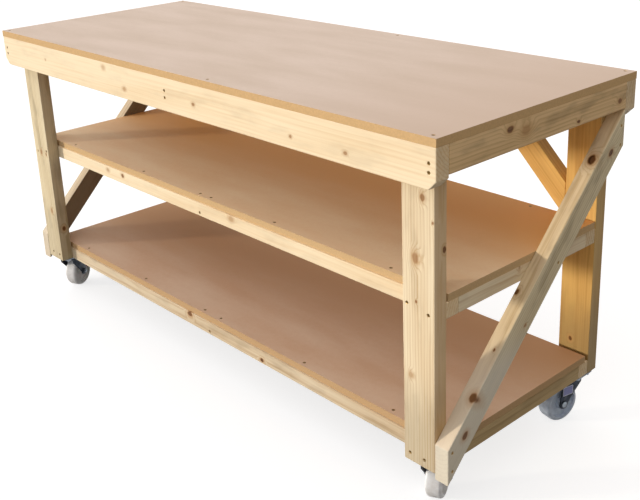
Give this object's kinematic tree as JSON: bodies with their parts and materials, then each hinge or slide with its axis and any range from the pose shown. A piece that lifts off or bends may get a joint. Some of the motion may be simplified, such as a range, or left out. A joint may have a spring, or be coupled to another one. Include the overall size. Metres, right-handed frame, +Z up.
{
  "type": "mobile workbench",
  "caption": "Long timber workbench with a flat board top, two full-length board shelves, diagonal end braces and swivel casters.",
  "frame": {"origin": "on the floor under the centre of the bench", "axes": "+X to the right end along the length, -Y to the front, +Z up"},
  "size_m": [1.83, 0.7, 0.9083],
  "materials": {
    "softwood": "planed, slightly rounded edges, clear grain with knots",
    "fibreboard": "smooth sanded fibreboard, sawn edges",
    "zinc_steel": "bright zinc plated pressed steel",
    "nylon": "smooth white-grey nylon"
  },
  "bodies": {
    "frame": {"top_board": "fibreboard", "front_top_rail": "softwood", "back_top_rail": "softwood", "left_end_rail": "softwood", "right_end_rail": "softwood", "centre_bearer": "softwood", "front_left_leg": "softwood", "front_right_leg": "softwood", "back_left_leg": "softwood", "back_right_leg": "softwood", "middle_shelf_board": "fibreboard", "middle_shelf_front_rail": "softwood", "middle_shelf_back_rail": "softwood", "middle_shelf_left_rail": "softwood", "middle_shelf_right_rail": "softwood", "middle_shelf_bearer": "softwood", "bottom_shelf_board": "fibreboard", "bottom_shelf_front_rail": "softwood", "bottom_shelf_back_rail": "softwood", "bottom_shelf_left_rail": "softwood", "bottom_shelf_right_rail": "softwood", "bottom_shelf_bearer": "softwood", "left_end_brace": "softwood", "right_end_brace": "softwood", "back_left_knee_brace": "softwood", "back_right_knee_brace": "softwood", "front_left_caster_plate": "zinc_steel", "front_left_kingpin": "zinc_steel", "front_right_caster_plate": "zinc_steel", "front_right_kingpin": "zinc_steel", "back_left_caster_plate": "zinc_steel", "back_left_kingpin": "zinc_steel", "back_right_caster_plate": "zinc_steel", "back_right_kingpin": "zinc_steel"},
    "front_left_swivel": {"front_left_caster_fork": "zinc_steel", "front_left_ball_cage": "zinc_steel", "front_left_axle_tube": "zinc_steel", "front_left_axle_bolt": "zinc_steel", "front_left_axle_nut": "zinc_steel"},
    "front_left_roller": {"front_left_wheel": "nylon"},
    "front_right_swivel": {"front_right_caster_fork": "zinc_steel", "front_right_ball_cage": "zinc_steel", "front_right_axle_tube": "zinc_steel", "front_right_axle_bolt": "zinc_steel", "front_right_axle_nut": "zinc_steel"},
    "front_right_roller": {"front_right_wheel": "nylon"},
    "back_left_swivel": {"back_left_caster_fork": "zinc_steel", "back_left_ball_cage": "zinc_steel", "back_left_axle_tube": "zinc_steel", "back_left_axle_bolt": "zinc_steel", "back_left_axle_nut": "zinc_steel"},
    "back_left_roller": {"back_left_wheel": "nylon"},
    "back_right_swivel": {"back_right_caster_fork": "zinc_steel", "back_right_ball_cage": "zinc_steel", "back_right_axle_tube": "zinc_steel", "back_right_axle_bolt": "zinc_steel", "back_right_axle_nut": "zinc_steel"},
    "back_right_roller": {"back_right_wheel": "nylon"}
  },
  "joints": [
    {"name": "front_left_swivel_turn", "type": "hinge", "parent": "frame", "child": "front_left_swivel", "pos_m": [-0.8322, -0.2657, 0.12], "axis": [0, 0, 1], "continuous": true},
    {"name": "front_left_wheel_spin", "type": "hinge", "parent": "front_left_swivel", "child": "front_left_roller", "pos_m": [-0.85192, -0.22862, 0.05], "axis": [-0.8829, -0.4695, 0], "continuous": true},
    {"name": "front_right_swivel_turn", "type": "hinge", "parent": "frame", "child": "front_right_swivel", "pos_m": [0.8322, -0.2657, 0.12], "axis": [0, 0, 1], "continuous": true},
    {"name": "front_right_wheel_spin", "type": "hinge", "parent": "front_right_swivel", "child": "front_right_roller", "pos_m": [0.81313, -0.22828, 0.05], "axis": [-0.891, -0.454, 0], "continuous": true},
    {"name": "back_left_swivel_turn", "type": "hinge", "parent": "frame", "child": "back_left_swivel", "pos_m": [-0.8322, 0.2657, 0.12], "axis": [0, 0, 1], "continuous": true},
    {"name": "back_left_wheel_spin", "type": "hinge", "parent": "back_left_swivel", "child": "back_left_roller", "pos_m": [-0.8532, 0.22933, 0.05], "axis": [0.866, -0.5, 0], "continuous": true},
    {"name": "back_right_swivel_turn", "type": "hinge", "parent": "frame", "child": "back_right_swivel", "pos_m": [0.8322, 0.2657, 0.12], "axis": [0, 0, 1], "continuous": true},
    {"name": "back_right_wheel_spin", "type": "hinge", "parent": "back_right_swivel", "child": "back_right_roller", "pos_m": [0.82347, 0.22462, 0.05], "axis": [0.9781, -0.2079, 0], "continuous": true}
  ]
}
